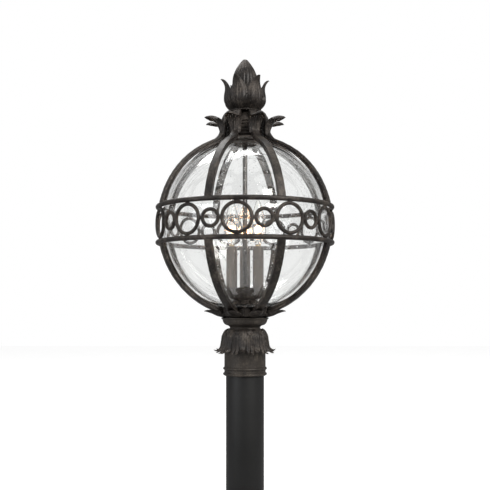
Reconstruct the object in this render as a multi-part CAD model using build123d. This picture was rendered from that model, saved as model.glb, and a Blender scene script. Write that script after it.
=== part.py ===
from build123d import *

import math
import os

# Globe lantern on a post: a ball of glass inside a wrought cage, three candle lamps within.
# Millimetres, +Z up, origin at the middle of the underside of the post's base flange.
# The cage turns on the post, its dome lifts off with the globe, the finial and lamps come out.

os.makedirs("parts", exist_ok=True)

# ---- running and seating gaps --------------------------------------------------------
moving_gap = 0.4            # between pieces that move past each other
screw_gap = 0.3             # between a screwed piece and what it screws on
weld_bite = 0.15            # how deep welded pieces run into each other
leaf_thickness = 3.0

# ---- post and its floor flange -------------------------------------------------------
post_diameter = 76.2
post_wall = 3.2
post_length = 300.0         # underside of the flange to the underside of the lantern's collar
flange_diameter = 165.0
flange_thickness = 10.0
neck_wall = 9.0
neck_height = 34.0
bolt_circle = 133.0
bolt_hole_diameter = 11.0
bolt_hole_count = 4

# ---- collar that slips over the post -------------------------------------------------
collar_wall = 2.9
collar_height = 60.0
collar_roof = 7.0
bead_radius = 2.6
bead_heights = (3.0, 14.0)
set_screw_radius = 2.5
set_screw_height = 8.5
set_screw_count = 3

# ---- leaf skirt, waist and cup -------------------------------------------------------
leaf_count = 8              # lower and horn leaves, one to each rib
skirt_leaf_count = 10
skirt_leaf_start_angle = -96.0
skirt_core_radius = 45.0
skirt_top_radius = 38.0
skirt_height = 32.0
skirt_reach = 18.0          # how far the leaf tips stand out from the core
skirt_drop = 14.0           # how far the leaves hang below the top of the collar
skirt_leaf_width = 32.0
waist_radius = 31.7
waist_height = 7.0
cup_radius = 47.5
cup_height = 20.0
cup_lip = 2.0

# ---- cage ------------------------------------------------------------------------------
cage_radius = 181.5         # outside of the ribs
rib_count = 8
rib_start_angle = 22.5      # the first rib, round from +X
rib_width = 15.0
rib_depth = 10.5
rib_bar_depth = 5.2         # the wide outer bar of a rib
rib_groove_depth = 1.6
rib_groove_width = 9.0
rib_liner_width = 12.0      # the narrower inner strip
rail_radius = 4.75
rail_inset = 1.5            # the rails lie this far inside the ribs' outer faces
cage_stretch = 5.5          # the ball is this much taller than it is wide
rail_spacing = 71.0
hub_radius = 44.0
hub_height = 21.0
hub_rise = 6.4              # hub underside up to the ribs' underside
ring_bar_radius = 3.5
ring_pair_count = 11
ring_start_angle = -94.8    # the first large ring, round from +X
lower_leaf_width = 30.0
lower_leaf_reach = 88.0

# ---- dome ------------------------------------------------------------------------------
neck_radius = 46.5          # middle of the ribs where they stand upright
neck_sweep = 33.0
neck_lean_radius = 47.0
neck_lean_angle = 42.0
cap_radius = 39.0
cap_thickness = 3.0
cap_rise = 1.0              # the cap's underside above the ends of the ribs' middle lines
horn_reach = 89.0
horn_leaf_width = 32.0
dome_flange_thickness = 4.0
dome_flange_radius = 50.5
flange_clearance = 0.5      # the flange's underside above the top of the glass
drum_radius = 38.5
drum_wall = 4.0             # thinnest, between two rings of the drum
drum_ring_count = 5

# ---- globe -----------------------------------------------------------------------------
glass_gap = 3.0             # ribs to glass
glass_wall = 3.0
globe_mouth_radius = 54.0   # lower opening, wide enough to pass over the lamps
globe_top_radius = 24.0

# ---- candle cluster --------------------------------------------------------------------
rod_radius = 4.75
rod_end_below_roof = 8.0
rod_end_in_finial = 24.0
lamp_count = 3
lamp_circle = 30.5
lamp_start_angle = 90.0
sleeve_radius = 10.9
sleeve_wall = 0.9
sleeve_height = 82.0
bowl_radius = 42.5
bowl_base_radius = 22.0
bowl_height = 25.0
rosette_height = 14.0
rosette_radius = 34.0
socket_radius = 9.2
socket_height = 58.0
bulb_base_radius = 5.8
bulb_base_length = 14.0
bulb_radius = 16.0
bulb_height = 92.0
bulb_glass = 1.0
bulb_seat = 3.0             # lamp glass stands this far above the sleeve

# ---- finial ----------------------------------------------------------------------------
washer_space = 1.5          # the finial stands this far above the cap, on its washer
finial_base_radius = 26.0
crown_radius = 41.0
crown_height = 50.0
crown_leaf_reach = 50.0
crown_leaf_width = 42.0
bud_radius = 26.0
bud_height = 57.5
crown_leaf_count = 6
crown_start_angle = -53.0

# ---- worked-out places -----------------------------------------------------------------
post_radius = post_diameter / 2
collar_bore = post_radius + moving_gap
collar_radius = collar_bore + collar_wall
collar_base_z = post_length
collar_top_z = collar_base_z + collar_height
roof_z = collar_top_z - collar_roof
skirt_top_z = collar_top_z + skirt_height
waist_top_z = skirt_top_z + waist_height
cup_top_z = waist_top_z + cup_height - waist_height / 2
hub_top_z = cup_top_z + hub_height

lower_centre_z = cup_top_z + hub_rise + math.sqrt(cage_radius ** 2 - hub_radius ** 2)
upper_centre_z = lower_centre_z + cage_stretch
band_z = (lower_centre_z + upper_centre_z) / 2
lower_rail_z = band_z - rail_spacing / 2
upper_rail_z = band_z + rail_spacing / 2
rail_ring_radius = cage_radius - rail_radius - rail_inset
large_ring_radius = rail_spacing / 2 - rail_radius - ring_bar_radius + weld_bite
ring_step = 2 * rail_ring_radius * math.sin(math.radians(90 / ring_pair_count))
small_ring_radius = ring_step - large_ring_radius - 2 * ring_bar_radius + weld_bite
rib_inner_radius = cage_radius - rib_depth
rib_middle_radius = cage_radius - rib_depth / 2
glass_radius = rib_inner_radius - glass_gap
glass_inner_radius = glass_radius - glass_wall

sweep_angle = math.degrees(math.acos((neck_radius + neck_sweep) / (rib_middle_radius + neck_sweep)))
sweep_centre_r = neck_radius + neck_sweep
sweep_centre_z = upper_centre_z + (rib_middle_radius + neck_sweep) * math.sin(math.radians(sweep_angle))
lean_centre_r = neck_radius - neck_lean_radius
cap_z = sweep_centre_z + neck_lean_radius * math.sin(math.radians(neck_lean_angle)) + cap_rise
dome_flange_z = upper_centre_z + glass_radius + flange_clearance
drum_base_z = dome_flange_z + dome_flange_thickness

rosette_z = hub_top_z
bowl_z = rosette_z + rosette_height
bowl_top_z = bowl_z + bowl_height
sleeve_top_z = bowl_top_z + sleeve_height
bulb_base_z = sleeve_top_z + bulb_seat - bulb_base_length
bulb_glass_z = sleeve_top_z + bulb_seat

finial_z = cap_z + cap_thickness + washer_space
rod_bottom_z = roof_z - rod_end_below_roof
rod_top_z = finial_z + rod_end_in_finial
bud_z = finial_z + crown_height


def turned(points):
    """Solid of revolution: a closed outline of (radius, height) corners spun about Z."""
    outline = Polyline([(radius, 0, height) for radius, height in points], close=True)
    return revolve(make_face(outline), Axis.Z)


def turned_smooth(outer, bore):
    """Solid of revolution: a smooth curve through (radius, height) points, closed to a bore."""
    top, bottom = outer[-1], outer[0]
    curve = Spline([(radius, 0, height) for radius, height in outer])
    closing = Polyline(
        (top[0], 0, top[1]), (bore, 0, top[1]), (bore, 0, bottom[1]), (bottom[0], 0, bottom[1])
    )
    return revolve(make_face(curve + closing), Axis.Z)


def ring(inner, outer, bottom, top):
    """Flat-sided ring between two radii and two heights."""
    return turned([(inner, bottom), (outer, bottom), (outer, top), (inner, top)])


def around(piece, count, start=0.0):
    """Equal copies of a piece, spaced round the Z axis."""
    return [Rot(0, 0, start + 360 * index / count) * piece for index in range(count)]


def leaf(spine, widths):
    """Bent leaf: flat ovals square to a (radius, height) spine, lofted in one skin."""
    sections = []
    last = len(spine) - 1
    for index, (radius, height) in enumerate(spine):
        before = spine[max(index - 1, 0)]
        after = spine[min(index + 1, last)]
        direction = Vector(after[0] - before[0], 0, after[1] - before[1]).normalized()
        plane = Plane(origin=(radius, 0, height), x_dir=(0, 1, 0), z_dir=direction)
        sections.append(plane * Ellipse(widths[index] / 2, leaf_thickness / 2))
    return loft(sections)


def largest(cut):
    """The largest solid of a cut shape, without its offcuts."""
    return max(cut.solids(), key=lambda solid: solid.volume)


def save(name, *solids):
    """Write one node: one solid, or a group of separate like solids."""
    found = [solid for piece in solids for solid in piece.solids()]
    node = found[0] if len(found) == 1 else Compound(children=found)
    node.label = name
    export_step(node, "parts/" + name + ".step")


# ---- post -------------------------------------------------------------------------------
def make_post():
    tube = ring(post_radius - post_wall, post_radius, flange_thickness / 2, roof_z - moving_gap)
    flange = swept_flange()
    for index in range(bolt_hole_count):
        turn = Rot(0, 0, 45 + 360 * index / bolt_hole_count)
        flange -= turn * Pos(bolt_circle / 2, 0, flange_thickness / 2) * Cylinder(
            bolt_hole_diameter / 2, flange_thickness * 3
        )
    save("post_tube", tube)
    save("base_flange", flange - tube)


def swept_flange():
    """Base flange: a flat disc that rises in two slopes to the neck round the post."""
    rim = flange_diameter / 2
    wire_way = post_radius - post_wall
    neck = post_radius + neck_wall
    slope_start = neck + (neck_height - flange_thickness) * 0.45
    body = turned([
        (wire_way, 0), (rim, 0), (rim, flange_thickness), (slope_start, flange_thickness),
        (neck + 2, neck_height - 8), (neck, neck_height), (post_radius, neck_height),
        (post_radius, flange_thickness / 2), (wire_way, flange_thickness / 2),
    ])
    rim_edges = body.edges().filter_by(GeomType.CIRCLE).filter_by(lambda e: abs(e.radius - rim) < 0.01)
    return fillet(rim_edges.group_by(Axis.Z)[-1], flange_thickness * 0.3)


# ---- collar -----------------------------------------------------------------------------
def make_collar():
    collar = turned([
        (collar_bore, collar_base_z), (collar_radius, collar_base_z), (collar_radius, collar_top_z),
        (rod_radius, collar_top_z), (rod_radius, roof_z), (collar_bore, roof_z),
    ])
    for height in bead_heights:
        bead = Pos(0, 0, collar_base_z + height) * Torus(collar_radius, bead_radius)
        collar += bead - Cylinder(collar_bore + 0.01, collar_top_z * 4)
    screw_reach = collar_radius + 1.2
    screws = []
    screw_z = collar_base_z + set_screw_height
    for index in range(set_screw_count):
        turn = Rot(0, 0, 30 + 360 * index / set_screw_count)
        length = screw_reach - post_radius - moving_gap / 2
        middle = screw_reach - length / 2
        screw = Pos(middle, 0, screw_z) * Rot(0, 90, 0) * Cylinder(set_screw_radius, length)
        socket = Pos(screw_reach, 0, screw_z) * Rot(0, 90, 0) * extrude(
            RegularPolygon(set_screw_radius * 0.5, 6), set_screw_radius, both=True
        )
        screws.append(turn * (screw - socket))
        collar -= turn * screw
    save("fitter_collar", collar)
    save("set_screws", *screws)


# ---- skirt, waist, cup ------------------------------------------------------------------
def make_skirt():
    core_outline = [
        (collar_radius, collar_top_z), (skirt_core_radius, collar_top_z + skirt_height * 0.25),
        (skirt_core_radius * 0.97, collar_top_z + skirt_height * 0.55),
        (skirt_top_radius, skirt_top_z),
    ]
    core = turned_smooth(core_outline, rod_radius)
    lying = leaf_thickness / 2 - weld_bite
    tip = skirt_core_radius + skirt_reach
    spine = [
        (skirt_top_radius + lying, skirt_top_z - 1.5),
        (skirt_core_radius * 0.97 + lying, collar_top_z + skirt_height * 0.55),
        (skirt_core_radius + lying, collar_top_z + skirt_height * 0.2),
        (skirt_core_radius + skirt_reach * 0.3, collar_top_z - skirt_drop * 0.45),
        (tip - skirt_reach * 0.25, collar_top_z - skirt_drop), (tip, collar_top_z - skirt_drop * 0.8),
    ]
    widths = [value * skirt_leaf_width for value in (0.6, 0.85, 1.0, 0.95, 0.6, 0.25)]
    blade = leaf(spine, widths)
    save("skirt_core", core)
    blades = around(blade, skirt_leaf_count, skirt_leaf_start_angle)
    save("skirt_leaves", *[largest(one_blade - core) for one_blade in blades])


def make_cup():
    waist = turned_smooth(
        [(waist_radius, skirt_top_z), (waist_radius - 2.0, skirt_top_z + waist_height / 2),
         (waist_radius + 1.5, waist_top_z)], rod_radius,
    )
    rim = cup_radius - cup_lip
    cup_outline = [
        (waist_radius + 1.5, waist_top_z), (rim * 0.9, waist_top_z + cup_height * 0.2),
        (rim * 0.98, waist_top_z + cup_height * 0.45), (rim, cup_top_z - 3),
    ]
    cup = turned_smooth(cup_outline, rod_radius)
    cup += ring(rod_radius, cup_radius, cup_top_z - 3, cup_top_z)
    save("waist_ring", waist)
    save("cup", cup)


# ---- cage: hub, ribs, rails and rings ---------------------------------------------------
def arc_corner(centre, radius, angle):
    """Point (radius, 0, height) on a circle in the rib's own plane; the angle is in degrees."""
    turn = math.radians(angle)
    return (centre[0] + radius * math.cos(turn), 0, centre[1] + radius * math.sin(turn))


def arc_of(centre, radius, start, end):
    """Arc between two angles of a circle in the rib's own plane."""
    middle = (start + end) / 2
    return ThreePointArc(
        arc_corner(centre, radius, start),
        arc_corner(centre, radius, middle),
        arc_corner(centre, radius, end),
    )


def rib_layer(path, near, far, width):
    """One layer of a rib: the band from near to far outside its middle line, width thick.

    The path lists arcs as (centre, radius, start angle, end angle, side), where side is +1 when
    the outside of the cage is away from the arc's centre and -1 when it is towards it.
    """
    outer = [arc_of(c, r + side * far, a, b) for c, r, a, b, side in path]
    inner = [arc_of(c, r + side * near, a, b) for c, r, a, b, side in path]
    ends = [Line(inner[0] @ 0, outer[0] @ 0), Line(inner[-1] @ 1, outer[-1] @ 1)]
    face = make_face(Curve() + outer + inner + ends)
    return extrude(face, width / 2, both=True)


def rib(path):
    """A whole rib: wide outer bar, narrow groove, inner strip."""
    half = rib_depth / 2
    bar_inside = half - rib_bar_depth
    liner_outside = bar_inside - rib_groove_depth
    bar = rib_layer(path, bar_inside, half, rib_width)
    web = rib_layer(path, liner_outside - 0.5, bar_inside + 0.5, rib_groove_width)
    liner = rib_layer(path, -half, liner_outside, rib_liner_width)
    return bar + web + liner


def make_lower_cage():
    hub = turned([
        (rod_radius, cup_top_z), (hub_radius - 5, cup_top_z), (hub_radius, cup_top_z + 4),
        (hub_radius, hub_top_z - 2), (hub_radius - 2, hub_top_z), (rod_radius, hub_top_z),
    ])
    rail_low = Pos(0, 0, lower_rail_z) * Torus(rail_ring_radius, rail_radius)
    rail_high = Pos(0, 0, upper_rail_z) * Torus(rail_ring_radius, rail_radius)
    top_angle = -math.degrees(math.asin((lower_centre_z - lower_rail_z) / rib_middle_radius))
    foot_angle = -math.degrees(math.acos((hub_radius - 3) / rib_middle_radius))
    path = [((0, lower_centre_z), rib_middle_radius, foot_angle, top_angle, 1)]
    one = rib(path) - rail_low - Cylinder(hub_radius, hub_top_z * 4) - Pos(
        0, 0, cup_top_z - 50
    ) * Cylinder(cup_radius + 1, 100)
    ribs = around(one, rib_count, rib_start_angle)
    large, small = [], []
    pitch = 360 / ring_pair_count
    for index in range(ring_pair_count):
        upright = Rot(0, 90, 0)
        place = Pos(rail_ring_radius, 0, band_z)
        turn_large = Rot(0, 0, ring_start_angle + pitch * index)
        turn_small = Rot(0, 0, ring_start_angle + pitch * (index + 0.5))
        large.append(turn_large * place * upright * Torus(large_ring_radius, ring_bar_radius))
        small.append(turn_small * place * upright * Torus(small_ring_radius, ring_bar_radius))
    save("lower_hub", hub)
    save("lower_rail", rail_low)
    save("upper_rail", rail_high)
    save("lower_ribs", *ribs)
    save("band_rings_large", *large)
    save("band_rings_small", *small)
    tip = lower_leaf_reach
    spine = [
        (hub_radius - 3, cup_top_z + 3), (tip * 0.66, cup_top_z + 4), (tip * 0.80, cup_top_z + 8.5),
        (tip * 0.92, cup_top_z + 12), (tip, cup_top_z + 10),
    ]
    widths = [value * lower_leaf_width for value in (0.7, 1.0, 0.9, 0.6, 0.25)]
    blades = around(largest(leaf(spine, widths) - hub - one), leaf_count, rib_start_angle)
    save("lower_leaves", *blades)


# ---- dome -------------------------------------------------------------------------------
def drum_top(reach, start_angle):
    """Domed top of the neck drum, under the leaning ends of the ribs, up to the cap."""
    end_angle = math.degrees(math.asin((cap_z - sweep_centre_z) / reach))
    corners = []
    for index in range(6):
        angle = math.radians(start_angle + (end_angle - start_angle) * index / 5)
        corners.append((lean_centre_r + reach * math.cos(angle), sweep_centre_z + reach * math.sin(angle)))
    return corners


def make_dome():
    start_angle = math.degrees(math.asin((upper_rail_z - 3.5 - upper_centre_z) / rib_middle_radius))
    path = [
        ((0, upper_centre_z), rib_middle_radius, start_angle, sweep_angle, 1),
        ((sweep_centre_r, sweep_centre_z), neck_sweep, 180 + sweep_angle, 180, -1),
        ((lean_centre_r, sweep_centre_z), neck_lean_radius, 0, neck_lean_angle, 1),
    ]
    saddle = Pos(0, 0, upper_rail_z) * Torus(rail_ring_radius, rail_radius + moving_gap)
    flange = ring(
        rod_radius + moving_gap, dome_flange_radius, dome_flange_z, dome_flange_z + dome_flange_thickness
    )
    cap = ring(rod_radius + moving_gap, cap_radius, cap_z, cap_z + cap_thickness)
    above = Pos(0, 0, cap_z + 50) * Cylinder(cap_radius * 2, 100)
    outside_rail = ring(rail_ring_radius - 0.2, cage_radius * 1.2, upper_rail_z - 30, upper_rail_z)
    one = rib(path) - saddle - flange - above - outside_rail
    ribs = around(one, rib_count, rib_start_angle)
    reach = neck_lean_radius - rib_depth / 2 - weld_bite * 2
    shoulder_angle = math.degrees(math.acos((drum_radius - lean_centre_r) / reach))
    shoulder_z = sweep_centre_z + reach * math.sin(math.radians(shoulder_angle))
    ring_pitch = (shoulder_z - drum_base_z) / drum_ring_count
    valley = drum_radius * 0.93
    outside = [(drum_radius, drum_base_z)]
    for index in range(drum_ring_count):
        ring_z = drum_base_z + ring_pitch * index
        outside += [(valley, ring_z + ring_pitch * 0.5), (drum_radius, ring_z + ring_pitch)]
    inside = [(valley - drum_wall, drum_base_z), (valley - drum_wall, shoulder_z)]
    outside += drum_top(reach, shoulder_angle + 3)
    inside += drum_top(reach - drum_wall, shoulder_angle + 12)
    drum = turned(inside + outside[::-1])
    root = neck_radius + rib_depth / 2 + leaf_thickness / 2 - weld_bite
    height = sweep_centre_z
    spine = [
        (root, height - 16), (root, height - 5), (root + 2.5, height + 8), (root + 10, height + 17),
        (horn_reach * 0.82, height + 20), (horn_reach * 0.93, height + 19), (horn_reach, height + 17),
    ]
    widths = [value * horn_leaf_width for value in (0.65, 0.75, 0.9, 0.97, 0.7, 0.4, 0.15)]
    horns = around(largest(leaf(spine, widths) - one), leaf_count, rib_start_angle)
    save("upper_ribs", *ribs)
    save("dome_flange", flange)
    save("neck_drum", drum)
    save("dome_cap", cap)
    save("horn_leaves", *horns)


# ---- globe ------------------------------------------------------------------------------
def globe_shell(radius):
    """Filled globe shape: two half balls a little apart with a short barrel between."""
    barrel = Pos(0, 0, band_z) * Cylinder(radius, cage_stretch)
    lower = Pos(0, 0, lower_centre_z) * Sphere(radius)
    upper = Pos(0, 0, upper_centre_z) * Sphere(radius)
    return barrel + lower + upper


def make_globe():
    outer = globe_shell(glass_radius)
    mouth = Pos(0, 0, lower_centre_z - glass_radius) * Cylinder(globe_mouth_radius, glass_radius)
    top = Pos(0, 0, upper_centre_z + glass_radius) * Cylinder(globe_top_radius, glass_radius)
    save("globe", outer - globe_shell(glass_inner_radius) - mouth - top)
    upper_gasket = ring(
        globe_top_radius - 2, globe_top_radius + 7, dome_flange_z - 6, dome_flange_z
    ) - outer
    save("upper_gasket", upper_gasket)
    mouth_z = lower_centre_z - math.sqrt(glass_radius ** 2 - globe_mouth_radius ** 2)
    band = ring(hub_radius, globe_mouth_radius + 4, mouth_z - 12, mouth_z + 12)
    bed = Pos(0, 0, lower_centre_z) * (Sphere(rib_inner_radius) - Sphere(glass_radius + moving_gap))
    save("lower_gasket", (band & bed) - Pos(0, 0, hub_top_z - 50) * Cylinder(hub_radius + 0.1, 100))


# ---- candle cluster ---------------------------------------------------------------------
def make_cluster():
    rosette = turned_smooth(
        [(rosette_radius * 0.62, rosette_z), (rosette_radius, rosette_z + rosette_height * 0.45),
         (bowl_base_radius, bowl_z)], rod_radius,
    )
    bowl = turned_smooth(
        [(bowl_base_radius, bowl_z), (bowl_radius * 0.86, bowl_z + bowl_height * 0.42),
         (bowl_radius * 0.97, bowl_z + bowl_height * 0.8), (bowl_radius, bowl_top_z)], rod_radius,
    )
    save("rosette", rosette)
    save("cluster_bowl", bowl)
    for index in range(lamp_count):
        turn = Rot(0, 0, lamp_start_angle + 360 * index / lamp_count) * Pos(lamp_circle, 0, 0)
        name = str(index + 1)
        sleeve = ring(sleeve_radius - sleeve_wall, sleeve_radius, bowl_top_z, sleeve_top_z)
        bore = bulb_base_radius + screw_gap
        socket = ring(0, socket_radius, sleeve_top_z - socket_height, sleeve_top_z - 1)
        socket -= Pos(0, 0, bulb_base_z - 4 + 50) * Cylinder(bore, 100)
        post = ring(0, 3.0, bowl_top_z, sleeve_top_z - socket_height)
        base = turned([
            (0, bulb_base_z), (2.5, bulb_base_z), (bulb_base_radius, bulb_base_z + 3),
            (bulb_base_radius, bulb_glass_z), (0, bulb_glass_z),
        ])
        contact = ring(0, 2.2, bulb_base_z - 1.5, bulb_base_z)
        glass = bulb_shape(bulb_radius, bulb_height, bulb_glass_z) - bulb_shape(
            bulb_radius - bulb_glass, bulb_height - 2 * bulb_glass, bulb_glass_z + bulb_glass
        )
        wire_z = bulb_glass_z + bulb_height * 0.34
        stem_z = bulb_glass_z + bulb_glass
        stem = Pos(0, 0, stem_z) * ring(0, 2.4, 0, bulb_height * 0.26 - bulb_glass)
        loop = Pos(0, 0, wire_z) * Rot(0, 90, 0) * Torus(bulb_height * 0.085, 0.4)
        save("lamp_sleeve_" + name, turn * sleeve)
        save("lamp_socket_" + name, turn * (socket + post))
        save("bulb_base_" + name, turn * base)
        save("bulb_contact_" + name, turn * contact)
        save("bulb_glass_" + name, turn * glass)
        save("bulb_filament_" + name, turn * (stem + loop))
    save("centre_rod", Pos(0, 0, rod_bottom_z) * ring(0, rod_radius, 0, rod_top_z - rod_bottom_z))
    nut = extrude(RegularPolygon(9.0, 6), 6) - Cylinder(rod_radius, 30)
    save("rod_nut_lower", Pos(0, 0, roof_z - 6) * nut)
    save("rod_nut_upper", Pos(0, 0, bowl_top_z) * nut)


def bulb_shape(radius, height, bottom):
    """Filled torpedo lamp on the Z axis: a smooth outline from its narrow foot up to its tip."""
    foot = radius * bulb_base_radius / bulb_radius
    outline = [
        (foot, 0), (foot * 1.35, 0.07), (radius * 0.93, 0.25), (radius, 0.37), (radius * 0.86, 0.58),
        (radius * 0.42, 0.86), (radius * 0.16, 0.97), (0, 1.0),
    ]
    curve = Spline([(r, 0, bottom + height * h) for r, h in outline])
    closing = Polyline((0, 0, bottom + height), (0, 0, bottom), (foot, 0, bottom))
    return revolve(make_face(curve + closing), Axis.Z)


# ---- finial -----------------------------------------------------------------------------
def make_finial():
    bore = rod_radius + screw_gap
    cup_outline = [
        (finial_base_radius, finial_z), (finial_base_radius * 1.08, finial_z + crown_height * 0.12),
        (crown_radius - leaf_thickness, finial_z + crown_height * 0.42),
        (crown_radius * 0.9, finial_z + crown_height * 0.62), (bud_radius * 1.1, bud_z),
    ]
    cup = turned_smooth(cup_outline, bore + 2)
    insert = ring(bore, bore + 2, finial_z, rod_top_z + 4)
    washer = ring(rod_radius + moving_gap, 15, cap_z + cap_thickness, finial_z - screw_gap)
    shape = [
        (1.0, 0.0), (0.995, 0.2), (0.94, 0.38), (0.82, 0.53), (0.67, 0.67), (0.42, 0.84), (0.19, 0.965),
        (0.04, 1.0),
    ]
    outline = [(bud_radius * r, bud_z + bud_height * h) for r, h in shape]
    curve = Spline([(r, 0, h) for r, h in outline])
    closing = Polyline(
        (outline[-1][0], 0, outline[-1][1]), (0, 0, outline[-1][1]), (0, 0, bud_z), (bud_radius, 0, bud_z)
    )
    bud = revolve(make_face(curve + closing), Axis.Z)
    reach = crown_leaf_reach
    lying = leaf_thickness / 2 - weld_bite
    spine = [(r + lying, h) for r, h in cup_outline[:2]] + [
        (crown_radius - 1.5, finial_z + crown_height * 0.42),
        (crown_radius - 0.5, finial_z + crown_height * 0.62),
        (crown_radius - 1.5, finial_z + crown_height * 0.86),
        (crown_radius, finial_z + crown_height * 1.04), (reach - 4, finial_z + crown_height * 1.22),
        (reach, finial_z + crown_height * 1.28),
    ]
    widths = [value * crown_leaf_width for value in (0.65, 0.75, 1.0, 1.0, 0.78, 0.48, 0.25, 0.1)]
    blades = around(leaf(spine, widths), crown_leaf_count, crown_start_angle)
    save("finial_cup", cup)
    save("finial_insert", insert)
    save("finial_washer", washer)
    save("finial_bud", bud)
    save("crown_leaves", *[largest(one_blade - cup) for one_blade in blades])


make_post()
make_collar()
make_skirt()
make_cup()
make_lower_cage()
make_dome()
make_globe()
make_cluster()
make_finial()
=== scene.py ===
import math

import bpy
import numpy as np
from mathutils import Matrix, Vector


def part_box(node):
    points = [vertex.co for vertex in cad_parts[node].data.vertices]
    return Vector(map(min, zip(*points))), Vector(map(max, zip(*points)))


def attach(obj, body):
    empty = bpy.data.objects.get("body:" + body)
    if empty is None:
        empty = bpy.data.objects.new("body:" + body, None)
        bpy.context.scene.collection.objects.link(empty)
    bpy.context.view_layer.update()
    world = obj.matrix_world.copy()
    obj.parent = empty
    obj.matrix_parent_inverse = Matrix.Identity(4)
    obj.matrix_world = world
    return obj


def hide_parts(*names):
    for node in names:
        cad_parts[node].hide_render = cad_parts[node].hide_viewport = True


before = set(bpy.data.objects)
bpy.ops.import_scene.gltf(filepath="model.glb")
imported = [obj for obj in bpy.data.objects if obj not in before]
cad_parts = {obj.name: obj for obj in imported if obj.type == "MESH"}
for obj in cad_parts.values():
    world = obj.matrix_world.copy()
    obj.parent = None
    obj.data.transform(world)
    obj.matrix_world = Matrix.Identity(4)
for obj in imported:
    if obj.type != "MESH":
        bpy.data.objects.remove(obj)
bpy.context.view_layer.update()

# ---- Post and base flange ----
# A plain 3 in steel tube welded into a round cast flange that bolts down on a pier. Both are
# powder coated satin black. The tube is drawn, the flange is cast and turned.
SURFACE_SIDES = 128
post_low, post_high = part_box("post_tube")
post_radius = post_high[0]
post_wall = 0.0032


def soft_corners(corners, reach, steps=4):
    """Closed outline with each corner rounded: a quadratic curve from reach before the corner to
    reach after it, reach being at most 0.45 of the shorter side that meets there."""
    corners = np.asarray(corners, float)
    before = np.roll(corners, 1, axis=0) - corners
    after = np.roll(corners, -1, axis=0) - corners
    size_before = np.linalg.norm(before, axis=1, keepdims=True)
    size_after = np.linalg.norm(after, axis=1, keepdims=True)
    cut = np.minimum(reach, 0.45 * np.minimum(size_before, size_after))
    start = corners + before / size_before * cut
    end = corners + after / size_after * cut
    t = np.linspace(0.0, 1.0, steps + 1)[None, :, None]
    curve = (1 - t) ** 2 * start[:, None] + 2 * t * (1 - t) * corners[:, None] + t ** 2 * end[:, None]
    return curve.reshape(-1, corners.shape[1])


def whole_turn(count):
    """Angles spaced evenly once round, the last one short of the first."""
    return np.linspace(0.0, 2 * math.pi, count, endpoint=False)


def turned_grid(outline, sides=SURFACE_SIDES, flutes=None):
    """Grid of a turned piece: each (radius, height) of the outline is a ring about Z. flutes gives a
    change of radius for each (height row, angle)."""
    outline = np.asarray(outline, float)
    angle = whole_turn(sides)
    radius = np.repeat(outline[:, :1], sides, axis=1)
    if flutes is not None:
        radius = radius + flutes(outline, angle)
    height = np.repeat(outline[:, 1:], sides, axis=1)
    return np.stack([radius * np.cos(angle), radius * np.sin(angle), height], axis=-1)


def linked_object(name, data):
    """New object in the scene for a mesh, lamp or camera."""
    made = bpy.data.objects.new(name, data)
    bpy.context.scene.collection.objects.link(made)
    return made


def make_piece(name, grids, material, body, stands_for=(), closed_rows=False, sharp=40):
    """One mesh from grids of points shaped (rows, columns, 3). Columns always run round and close.
    Rows close too when closed_rows is set, else each end row is shut by one flat face."""
    points, loops, totals = [], [], []
    base = 0
    for grid in grids:
        rows, columns = grid.shape[:2]
        index = np.arange(rows * columns).reshape(rows, columns) + base
        across = np.roll(index, -1, axis=1)
        if closed_rows:
            quads = np.stack([index, across, np.roll(across, -1, 0), np.roll(index, -1, 0)], -1)
        else:
            quads = np.stack([index[:-1], across[:-1], across[1:], index[1:]], -1)
            loops += [index[0, ::-1], index[-1]]
            totals += [columns, columns]
        quads = quads.reshape(-1)
        loops.append(quads)
        totals += [4] * (len(quads) // 4)
        points.append(grid.reshape(-1, 3))
        base += rows * columns
    points, loops = np.concatenate(points), np.concatenate(loops)
    totals = np.array(totals)
    mesh = bpy.data.meshes.new(name)
    mesh.vertices.add(len(points))
    mesh.vertices.foreach_set("co", points.astype(np.float32).ravel())
    mesh.loops.add(len(loops))
    mesh.loops.foreach_set("vertex_index", loops.astype(np.int32))
    mesh.polygons.add(len(totals))
    mesh.polygons.foreach_set("loop_start", (np.cumsum(totals) - totals).astype(np.int32))
    mesh.update(calc_edges=True)
    mesh.validate()
    mesh.polygons.foreach_set("use_smooth", np.ones(len(mesh.polygons), bool))
    mesh.set_sharp_from_angle(angle=math.radians(sharp))
    mesh.materials.append(material)
    piece = linked_object(name, mesh)
    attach(piece, body)
    if stands_for:
        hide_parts(*stands_for)
    return piece


def turned_piece(name, outline, material, node, body="lantern", sides=SURFACE_SIDES, flutes=None):
    """A turned piece whose outline closes on itself, standing for one CAD node."""
    grid = turned_grid(outline, sides, flutes)
    return make_piece(name, [grid], material, body, [node], closed_rows=True)


def raised(level, points):
    """(radius, height) points whose heights are counted from a level."""
    return [(radius, level + height) for radius, height in points]


def bored(side, bore, low, high):
    """A side closed into a full outline by a straight bore between two levels."""
    return np.vstack([[(bore, low)], side, [(bore, high)]])


def paint_node(node, material):
    """Give its finish to a CAD node that is shown as it is."""
    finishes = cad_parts[node].data.materials
    finishes.clear()
    finishes.append(material)


def new_finish(name):
    """Empty node material: the tree, its Principled shader and its object coordinates."""
    material = bpy.data.materials.new(name)
    material.use_nodes = True
    tree = material.node_tree
    shader = tree.nodes["Principled BSDF"]
    place = tree.nodes.new("ShaderNodeTexCoord").outputs["Object"]
    return material, tree, shader, place


def noise(tree, place, scale, detail=4.0, roughness=0.55):
    """Noise in object space, scale in repeats to the metre."""
    node = tree.nodes.new("ShaderNodeTexNoise")
    node.inputs["Scale"].default_value = scale
    node.inputs["Detail"].default_value = detail
    node.inputs["Roughness"].default_value = roughness
    tree.links.new(place, node.inputs["Vector"])
    return node.outputs["Fac"]


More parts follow.
